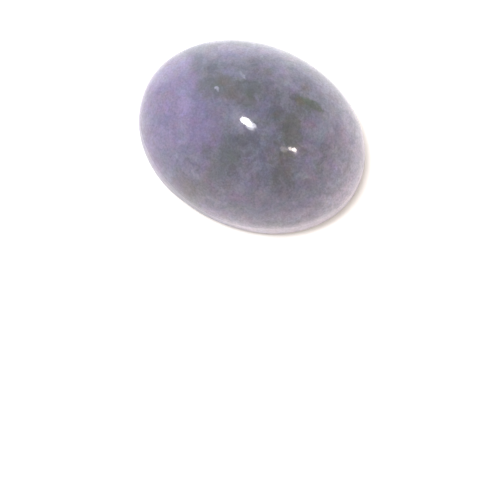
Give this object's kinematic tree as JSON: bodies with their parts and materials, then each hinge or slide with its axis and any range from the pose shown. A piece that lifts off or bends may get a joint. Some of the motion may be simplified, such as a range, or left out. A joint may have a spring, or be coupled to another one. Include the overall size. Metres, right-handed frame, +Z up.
{
  "type": "oval gemstone cabochon",
  "caption": "Oval polished charoite cabochon with a low dome, a short upright girdle, a fine bevel and a flat back, to set in a bezel or rest on a surface.",
  "frame": {"origin": "middle of the flat back, on the surface that the stone rests on", "axes": "+X along the long axis of the oval, +Y along its short axis, +Z up from the flat back to the top of the dome"},
  "size_m": [0.025, 0.02, 0.007],
  "materials": {
    "charoite": "polished"
  },
  "bodies": {
    "root": {"cabochon": "charoite"}
  },
  "joints": []
}
